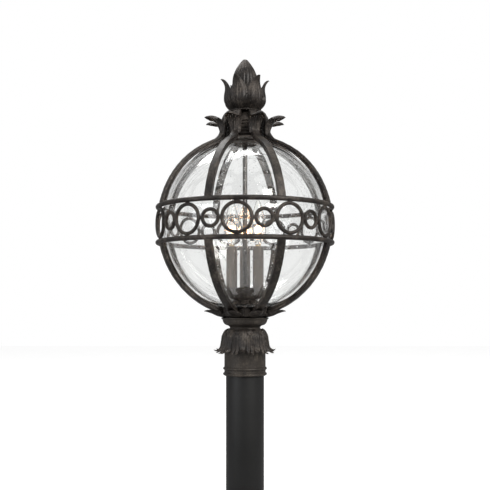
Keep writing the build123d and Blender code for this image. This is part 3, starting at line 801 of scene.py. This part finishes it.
def blown_glass(name, tint, dust, ripple, bubbles=()):
    """Clear blown glass. dust is the (scale, roughness) of a haze in its sheen, ripple the (scale,
    depth, strength) of its broad waves. Each of bubbles is the (scale, size, depth, strength) of
    round bumps, one in each Voronoi cell. Shadow rays see a clear surface, so lamps shine through."""
    material, tree, shader, place = new_finish(name)
    shader.inputs["Base Color"].default_value = (*tint, 1)
    shader.inputs["Transmission Weight"].default_value = 1.0
    shader.inputs["IOR"].default_value = 1.45
    heights = []
    for scale, size, depth, strength in bubbles:
        cells = tree.nodes.new("ShaderNodeTexVoronoi")
        cells.inputs["Scale"].default_value = scale
        tree.links.new(place, cells.inputs["Vector"])
        seed = ramp(tree, cells.outputs["Distance"], [(0.0, grey(1.0)), (size, grey(0.0))])
        heights.append((seed, depth, strength))
    heights.append((noise(tree, place, ripple[0], 1.0), *ripple[1:]))
    bumps(tree, shader, heights)
    haze = ramp(tree, noise(tree, place, dust[0], 3.0), [(0.4, grey(0.0)), (0.8, grey(dust[1]))])
    tree.links.new(haze, shader.inputs["Roughness"])
    path = tree.nodes.new("ShaderNodeLightPath")
    clear = tree.nodes.new("ShaderNodeBsdfTransparent")
    mix = tree.nodes.new("ShaderNodeMixShader")
    tree.links.new(path.outputs["Is Shadow Ray"], mix.inputs[0])
    tree.links.new(shader.outputs[0], mix.inputs[1])
    tree.links.new(clear.outputs[0], mix.inputs[2])
    tree.links.new(mix.outputs[0], tree.nodes["Material Output"].inputs["Surface"])
    return material


def filament_glow():
    """Hot filament: warm orange glow, brighter in patches along the wire."""
    material, tree, shader, place = new_finish("filament_glow")
    patch = noise(tree, place, 500.0, 2.0)
    colour = ramp(tree, patch, [(0.3, (1.0, 0.30, 0.06)), (0.7, (1.0, 0.52, 0.16))])
    tree.links.new(colour, shader.inputs["Base Color"])
    tree.links.new(colour, shader.inputs["Emission Color"])
    shader.inputs["Emission Strength"].default_value = 4.0
    shader.inputs["Roughness"].default_value = 0.4
    return material


def bulb_outline(radius, foot, height, drop=0.0):
    """Torpedo lamp outline from its narrow foot to the tip, smooth through eight stations."""
    stations = [(base_radius / radius, 0.0), (1.35 * base_radius / radius, 0.07), (0.93, 0.25),
                (1.0, 0.37), (0.86, 0.58), (0.42, 0.86), (0.16, 0.97), (0.012, 1.0)]
    path = smooth_path([(radius * r, foot + (height - drop) * z) for r, z in stations], 60)
    path[:, 1] = np.maximum.accumulate(path[:, 1])
    path[:, 1] = np.clip(path[:, 1], foot, foot + height - drop)
    path[:, 0] = np.clip(path[:, 0], 0.0, radius)
    return path


def threaded_base():
    """Screw base: the radius rises and falls with a cosine, once for each turn of the thread."""
    pitch, depth = 0.0021, 0.0004
    rows = [(0.0006, base_low[2]), (0.0025, base_low[2])]
    for z in np.linspace(base_low[2] + 0.003, base_high[2] - 0.001, 60):
        turn = 2 * math.pi * (z - base_low[2]) / pitch
        rows.append((base_radius - depth * (1 - math.cos(turn)), z))
    rows += [(base_radius - 0.0002, base_high[2]), (0.0006, base_high[2])]
    return np.array(rows)


def filament_loop(wire_height, reach):
    """Coiled filament bent in a loop: a helix of wire wrapped on a standing circle round the stem."""
    around_loop = whole_turn(720)[:, None]
    tube = whole_turn(8)[None, :]
    coil_turns, coil_radius, wire_radius = 40, 0.00035, 0.00016
    coil = coil_turns * around_loop
    radius = reach + coil_radius * np.cos(coil)
    middle = np.stack([coil_radius * np.sin(coil) + 0 * around_loop, radius * np.cos(around_loop),
                       radius * np.sin(around_loop)], -1)
    outward = np.stack([0 * around_loop, np.cos(around_loop), np.sin(around_loop)], -1)
    ahead = np.gradient(middle[:, 0], axis=0)
    ahead = (ahead / np.linalg.norm(ahead, axis=1, keepdims=True))[:, None]
    across = np.cross(ahead, outward)
    across /= np.linalg.norm(across, axis=-1, keepdims=True)
    up = np.cross(across, ahead)
    grid = middle + wire_radius * (np.cos(tube)[..., None] * up + np.sin(tube)[..., None] * across)
    return grid + np.array([0.0, 0.0, wire_height])


clear_glass = blown_glass("lamp_clear_glass", (0.99, 0.99, 0.98), (160.0, 0.05), (60.0, 0.0002, 0.08))
# Brass of the screw bases: bright, with patches of tarnish that are slightly raised.
base_brass = mottled_finish(
    "lamp_base_brass", (300.0, 4.0), [(0.35, (0.32, 0.25, 0.14)), (0.7, (0.62, 0.52, 0.33))],
    [(0.3, 0.22), (0.7, 0.4)], (300.0, 4.0, 0.0001, 0.3), metallic=1.0)
glowing_wire = filament_glow()
outer_bulb = bulb_outline(bulb_radius, bulb_foot, bulb_height)
inner_bulb = bulb_outline(bulb_radius - 0.001, bulb_foot + 0.001, bulb_height, 0.002)[::-1]
bulb_skin = np.vstack([[(0.0004, bulb_foot)], outer_bulb, inner_bulb, [(0.0004, bulb_foot + 0.001)]])
stem_shape = smooth_path(raised(bulb_foot, [
    (0.0023, 0.0012), (0.0023, 0.008), (0.0014, 0.016), (0.0016, 0.0235), (0.0006, 0.0240),
]), 20)
stem_outline = np.vstack([[(0.0004, bulb_foot + 0.0012)], stem_shape, [(0.0003, bulb_foot + 0.0240)]])
wire_height = bulb_foot + bulb_height * 0.34
loop_reach = bulb_height * 0.085 - 0.0001
contact_low, contact_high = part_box("bulb_contact_1")
solder_shape = raised(contact_low[2], [(0.0003, 0.0), (0.0010, 0.0001), (0.0017, 0.0005), (0.0022, 0.0011)])
solder_shape += [(0.0022, contact_high[2]), (0.0003, contact_high[2])]
bulb_grid, stem_grid = turned_grid(bulb_skin, 64), turned_grid(stem_outline, 32)
base_grid, solder_grid = turned_grid(threaded_base(), 40), turned_grid(solder_shape, 32)
filament_grid = filament_loop(wire_height, loop_reach)
for index in range(3):
    body = "lamp_" + str(index + 1)
    lamp_piece("lamp_glass_", index, bulb_grid, clear_glass, ["bulb_glass_"], body)
    lamp_piece("lamp_base_", index, base_grid, base_brass, ["bulb_base_"], body)
    lamp_piece("lamp_contact_", index, solder_grid, base_brass, ["bulb_contact_"], body)
    lamp_piece("lamp_stem_", index, stem_grid, clear_glass, body=body)
    lamp_piece("lamp_filament_", index, filament_grid, glowing_wire, ["bulb_filament_"],
               body)

# ---- Globe ----
# One blown glass ball, open at both ends, that lifts off with the dome. Small bubbles are caught
# in the glass and its surface ripples. A rubber ring seats its top under the dome's flange.
mouth_radius = 0.054
top_radius = 0.024
glass_wall = 0.003


def globe_outline(radius):
    """Ball outline from the lower opening to the upper one: two arcs a little apart."""
    low_start = -math.acos(mouth_radius / radius)
    top_end = math.acos(top_radius / radius)
    lower = arc_path((0, lower_centre), radius, low_start, 0.0, 60)
    upper = arc_path((0, upper_centre), radius, 0.0, top_end, 60)
    return np.vstack([lower, upper])


ripple_glass = blown_glass(
    "seeded_glass", (0.975, 0.98, 0.975), (90.0, 0.03), (18.0, 0.002, 0.15),
    bubbles=[(150.0, 0.16, 0.0004, 0.45), (75.0, 0.12, 0.0006, 0.45)])
inner_wall = globe_outline(glass_radius - glass_wall)[::-1]
globe_shape = np.vstack([globe_outline(glass_radius), inner_wall])
turned_piece("seeded_globe", globe_shape, ripple_glass, "globe", "dome", 192)
top_seal_low, top_seal_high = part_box("upper_gasket")
seal_shape = soft_corners([
    (0.0222, top_seal_low[2] + 0.0018), (0.0308, top_seal_high[2] - 0.0018), (0.0308, top_seal_high[2]),
    (0.0222, top_seal_high[2]),
], 0.0005)
turned_piece("globe_top_seal", seal_shape, seal_rubber, "upper_gasket", "dome")

# ---- Dome: upper ribs, flange, neck drum and cap ----
# The upper ribs stand on the upper rail, follow the ball and sweep in to an upright neck under the
# cap. A flange over the glass ties them together. A ringed drum fills the neck up to the cap disc.
dome_flange_low, dome_flange_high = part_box("dome_flange")
drum_low, drum_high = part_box("neck_drum")
cap_low, cap_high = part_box("dome_cap")
neck_radius = 0.0465
neck_sweep = 0.033
lean_radius = 0.047
lean_angle = math.radians(42.0)
sweep_angle = math.acos((neck_radius + neck_sweep) / (rib_middle + neck_sweep))
sweep_centre = (neck_radius + neck_sweep, upper_centre + (rib_middle + neck_sweep) * math.sin(sweep_angle))
lean_centre = (neck_radius - lean_radius, sweep_centre[1])
saddle_gap = 0.0004


def seated_on_rail(grid, reach=0.014):
    """Foot of a rib shaped over the round rail: the first row is put on the rail's surface plus a
    small gap, and the rows above follow by a share that fades out over the reach."""
    offset = np.abs(np.hypot(grid[0, :, 0], grid[0, :, 1]) - rail_radius)
    round_over = (rail_bar + saddle_gap) ** 2 - offset ** 2
    saddle = upper_rail_z + np.sqrt(np.maximum(round_over, 0.0)) + 0.0001
    fade = np.clip(1 - (grid[..., 2] - grid[0, :, 2]) / reach, 0, 1)
    seated = grid.copy()
    seated[..., 2] += (saddle - grid[0, :, 2]) * fade
    return seated


rib_start = math.asin((upper_rail_z + 0.001 - upper_centre) / rib_middle)
ball_part = arc_path((0, upper_centre), rib_middle, rib_start, sweep_angle, 64)
sweep_part = arc_path(sweep_centre, neck_sweep, math.pi + sweep_angle, math.pi, 26)[1:]
lean_part = arc_path(lean_centre, lean_radius, 0.0, lean_angle, 20)[1:]
lean_part = lean_part[lean_part[:, 1] < cap_low[2] - 0.0018]
dome_path = np.vstack([ball_part, sweep_part, lean_part])
dome_rib = seated_on_rail(forged(swept_bar(dome_path, RIB_SECTION), seed=2.3))
dome_rib[..., 2] = np.minimum(dome_rib[..., 2], cap_low[2] + 0.0001)
make_piece("dome_rib_bars", round_the_axis(dome_rib, rib_count, rib_turn), iron_patina, "dome",
           ["upper_ribs"], sharp=55)
flange_edge = dome_flange_high[0]
rod_clear = rod_radius + slip_gap
flange_outline = soft_corners([
    (rod_clear, dome_flange_low[2]), (flange_edge, dome_flange_low[2]),
    (flange_edge, dome_flange_high[2] - 0.0006),
    (flange_edge - 0.004, dome_flange_high[2]), (rod_clear, dome_flange_high[2]),
], 0.0009)
turned_piece("glass_flange", flange_outline, plain_patina, "dome_flange", "dome")
drum_foot, drum_top = drum_low[2], drum_high[2]
drum_radius = drum_high[0]
drum_rings = 5
drum_groove = 0.0026
drum_bore = drum_radius - 0.0067
dome_wall = 0.004
dome_reach = lean_radius - rib_depth / 2 - saddle_gap
shoulder = math.acos((drum_radius - lean_centre[0]) / dome_reach)
shoulder_z = lean_centre[1] + dome_reach * math.sin(shoulder)
drum_height = np.linspace(drum_foot, shoulder_z, 90)
ring_wave = np.abs(np.cos(math.pi * drum_rings * (drum_height - drum_foot) / (shoulder_z - drum_foot)))
drum_side = np.stack([drum_radius - drum_groove * (1 - ring_wave ** 0.7), drum_height], -1)
dome_end = math.asin((drum_top - lean_centre[1]) / dome_reach)
drum_dome = arc_path(lean_centre, dome_reach, shoulder + 0.03, dome_end, 24)
inside_reach = dome_reach - dome_wall
inside_end = math.asin((drum_top - lean_centre[1]) / inside_reach)
drum_inside = arc_path(lean_centre, inside_reach, shoulder + 0.2, inside_end, 24)[::-1]
drum_outline = np.vstack([
    drum_side, drum_dome, drum_inside, [(drum_bore, shoulder_z), (drum_bore, drum_foot)],
])
turned_piece("ringed_neck_drum", drum_outline, iron_patina, "neck_drum", "dome")
cap_edge = cap_high[0]
cap_outline = soft_corners([
    (rod_clear, cap_low[2]), (cap_edge - 0.0015, cap_low[2]), (cap_edge, cap_low[2] + 0.001),
    (cap_edge, cap_high[2] - 0.0012), (cap_edge - 0.002, cap_high[2] - 0.0002),
    (cap_edge - 0.006, cap_high[2] - 0.0008), (cap_edge - 0.008, cap_high[2]), (rod_clear, cap_high[2]),
], 0.0008)
turned_piece("dome_cap_disc", cap_outline, iron_patina, "dome_cap", "dome")

# ---- Horn leaves ----
# Eight long cast leaves are brazed to the outside of the neck, one to each rib. They climb it, arch
# over and let their tips hang like horns.
horn_root = neck_radius + rib_depth / 2 + 0.0009
horn_spine = raised(sweep_centre[1], [
    (horn_root, -0.0165), (horn_root - 0.0004, -0.0050), (horn_root + 0.0024, 0.0080),
    (horn_root + 0.0095, 0.0170), (horn_root + 0.0200, 0.0203), (horn_root + 0.0295, 0.0192),
    (horn_root + 0.0350, 0.0170),
])
horn_widths = [0.021, 0.024, 0.030, 0.031, 0.0225, 0.0110, 0.0012]
horn_leaf = leaf_grid(horn_spine, horn_widths, arch=(0.35, 0.30, 0.0, -0.45, -0.60, -0.60), ridges=0.0007)
make_piece("horn_acanthus", round_the_axis(horn_leaf, rib_count, rib_turn), iron_patina, "dome",
           ["horn_leaves"])

# ---- Finial ----
# The finial screws on the rod's top. A cast cup is wrapped in six crown leaves whose tips flare
# out round a pointed, ridged bud. A steel washer lies under it and a threaded brass insert inside.
bud_low, bud_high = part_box("finial_bud")
finial_foot, bud_foot, bud_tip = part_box("finial_cup")[0][2], bud_low[2], bud_high[2]
bud_radius = bud_high[0]
finial_bore = rod_radius + 0.0023
paint_node("finial_washer", steel)
paint_node("finial_insert", base_brass)
cup_side = smooth_path(raised(finial_foot, [
    (0.0260, 0.0), (0.0281, 0.006), (0.0379, 0.021), (0.0369, 0.031),
]) + [(0.0286, bud_foot)], 40)
cup_shape = bored(cup_side, finial_bore, finial_foot, bud_foot)
turned_piece("finial_calyx", cup_shape, iron_patina, "finial_cup", "finial")
bud_stations = [(1.0, 0.0), (0.995, 0.2), (0.94, 0.38), (0.82, 0.53), (0.67, 0.67), (0.42, 0.84),
                (0.19, 0.965), (0.03, 1.0)]
bud_side = smooth_path([(bud_radius * r, bud_foot + (bud_tip - bud_foot) * z) for r, z in bud_stations], 70)
bud_side[:, 0] = np.clip(bud_side[:, 0], 0.0004, bud_radius)
bud_side[:, 1] = np.clip(bud_side[:, 1], bud_foot, bud_tip)
bud_outline = np.vstack([[(0.0004, bud_foot)], bud_side])


def bud_ridges(outline, angle):
    """Sixteen upright ridges with sharp valleys between, running out at the bud's tip."""
    level = (outline[:, 1] - bud_foot) / (bud_tip - bud_foot)
    depth = np.where(outline[:, 0] > 0.001, 0.0011 * np.clip(1.15 - level, 0, 1) ** 0.5, 0.0)
    depth = np.minimum(depth, outline[:, 0] * 0.3)
    return -depth[:, None] * (1 - np.abs(np.sin(8 * angle))[None, :]) ** 1.5


turned_piece("ridged_bud", bud_outline, iron_patina, "finial_bud", "finial", 256, bud_ridges)
crown_leaf_count = 6
crown_turn = math.radians(-53.0)
crown_spine = raised(finial_foot, [
    (0.0262, 0.0012), (0.0300, 0.0050), (0.0362, 0.0120), (0.0402, 0.0200), (0.0405, 0.0310),
    (0.0392, 0.0420), (0.0400, 0.0510), (0.0435, 0.0590), (0.0478, 0.0635), (0.0500, 0.0640),
])
crown_widths = [0.026, 0.031, 0.038, 0.0425, 0.0415, 0.0330, 0.0215, 0.0130, 0.0055, 0.0012]
crown_leaf = leaf_grid(crown_spine, crown_widths, arch=0.42, notch=0.10, lobes=2.0, ridges=0.0007)
petal_spine = raised(finial_foot, [
    (0.0300, 0.0035), (0.0372, 0.0105), (0.0420, 0.0175), (0.0428, 0.0235), (0.0418, 0.0290),
])
crown_petal = leaf_grid(petal_spine, [0.009, 0.0125, 0.0130, 0.0090, 0.0015], arch=0.5, rows=48,
                        half_columns=12)
make_piece("crown_acanthus", round_the_axis(crown_leaf, crown_leaf_count, crown_turn)
           + round_the_axis(crown_petal, crown_leaf_count, crown_turn + math.pi / crown_leaf_count),
           iron_patina, "finial", ["crown_leaves"])

# ---- Stage ----
# A plain pale floor under a white backdrop, three large soft lamps, a small glow at each filament,
# and the camera 1.6 m from the lantern's axis, just above the hub, tilted up a little.
FLOOR_GLOW = 0.62


def pale_floor():
    """Matt white studio floor, lit from within where it is looked at so that it meets the backdrop,
    and a plain mid grey for the light it throws back."""
    material, tree, shader, place = new_finish("pale_floor")
    path = tree.nodes.new("ShaderNodeLightPath")
    seen, seen_through = path.outputs["Is Camera Ray"], path.outputs["Is Transmission Ray"]
    looked_at = arithmetic(tree, "MAXIMUM", seen, seen_through)
    mottle = ramp(tree, noise(tree, place, 6.0, 4.0), [(0.3, grey(0.88)), (0.7, grey(0.93))])
    blend = tree.nodes.new("ShaderNodeMix")
    blend.data_type = "RGBA"
    blend.inputs[6].default_value = (0.35, 0.35, 0.35, 1.0)
    tree.links.new(looked_at, blend.inputs[0])
    tree.links.new(mottle, blend.inputs[7])
    tree.links.new(blend.outputs[2], shader.inputs["Base Color"])
    glow = arithmetic(tree, "MULTIPLY", looked_at, FLOOR_GLOW)
    shader.inputs["Emission Color"].default_value = (1.0, 1.0, 1.0, 1.0)
    tree.links.new(glow, shader.inputs["Emission Strength"])
    shader.inputs["Roughness"].default_value = 0.9
    shader.inputs["Specular IOR Level"].default_value = 0.1
    return material


def soft_lamp(name, place, aim, size, power, colour=(1.0, 1.0, 1.0)):
    """Large square area lamp aimed at a point."""
    data = bpy.data.lights.new(name, "AREA")
    data.shape, data.size, data.energy, data.color = "SQUARE", size, power, colour
    lamp = linked_object(name, data)
    lamp.location = place
    lamp.rotation_euler = (Vector(aim) - Vector(place)).to_track_quat("-Z", "Y").to_euler()


floor_mesh = bpy.data.meshes.new("floor")
floor_reach = 6
floor_corners = [(x * floor_reach, y * floor_reach, 0) for x, y in ((-1, -1), (1, -1), (1, 1), (-1, 1))]
floor_mesh.from_pydata(floor_corners, [], [(0, 1, 2, 3)])
floor_mesh.materials.append(pale_floor())
floor = linked_object("floor", floor_mesh)
lantern_middle = (0.0, 0.0, band_z)
soft_lamp("key_lamp", (1.6, -1.8, 1.9), lantern_middle, 1.2, 70.0, (1.0, 0.98, 0.95))
soft_lamp("fill_lamp", (-2.0, -1.4, 1.1), lantern_middle, 1.6, 26.0, (0.95, 0.97, 1.0))
soft_lamp("top_lamp", (-0.4, 0.8, 2.6), lantern_middle, 1.4, 40.0)
for index in range(3):
    glow = bpy.data.lights.new("lamp_glow_" + str(index + 1), "POINT")
    glow.energy, glow.color, glow.shadow_soft_size = 0.05, (1.0, 0.55, 0.25), 0.008
    glow_object = linked_object(glow.name, glow)
    glow_object.location = at_lamp(np.array([[0.0, 0.0, wire_height]]), index)[0]
world = bpy.data.worlds.new("soft_daylight")
bpy.context.scene.world = world
world.use_nodes = True
sky_tree = world.node_tree
sky = sky_tree.nodes["Background"]
sky.inputs["Color"].default_value = (1.0, 1.0, 1.0, 1.0)
sky.inputs["Strength"].default_value = 0.36
sky_path = sky_tree.nodes.new("ShaderNodeLightPath")
sky_out = sky.outputs[0]
for seen_by, strength in (("Is Transmission Ray", 0.86), ("Is Camera Ray", 1.0)):
    seen = sky_tree.nodes.new("ShaderNodeBackground")
    seen.inputs["Color"].default_value = (1.0, 1.0, 1.0, 1.0)
    seen.inputs["Strength"].default_value = strength
    sky_mix = sky_tree.nodes.new("ShaderNodeMixShader")
    sky_tree.links.new(sky_path.outputs[seen_by], sky_mix.inputs[0])
    sky_tree.links.new(sky_out, sky_mix.inputs[1])
    sky_tree.links.new(seen.outputs[0], sky_mix.inputs[2])
    sky_out = sky_mix.outputs[0]
sky_tree.links.new(sky_out, sky_tree.nodes["World Output"].inputs["Surface"])
bpy.context.scene.view_settings.view_transform = "Standard"
camera_data = bpy.data.cameras.new("camera")
camera_data.sensor_width = 36.0
camera_data.lens = 58.28
camera_data.shift_y = 0.0327
camera = linked_object("camera", camera_data)
camera_distance, camera_rise, camera_tilt = 1.60, 0.1533, 2.71
camera.location = (0.0, -camera_distance, collar_base + camera_rise)
camera.rotation_euler = (math.radians(90.0 + camera_tilt), 0.0, 0.0)
bpy.context.scene.camera = camera
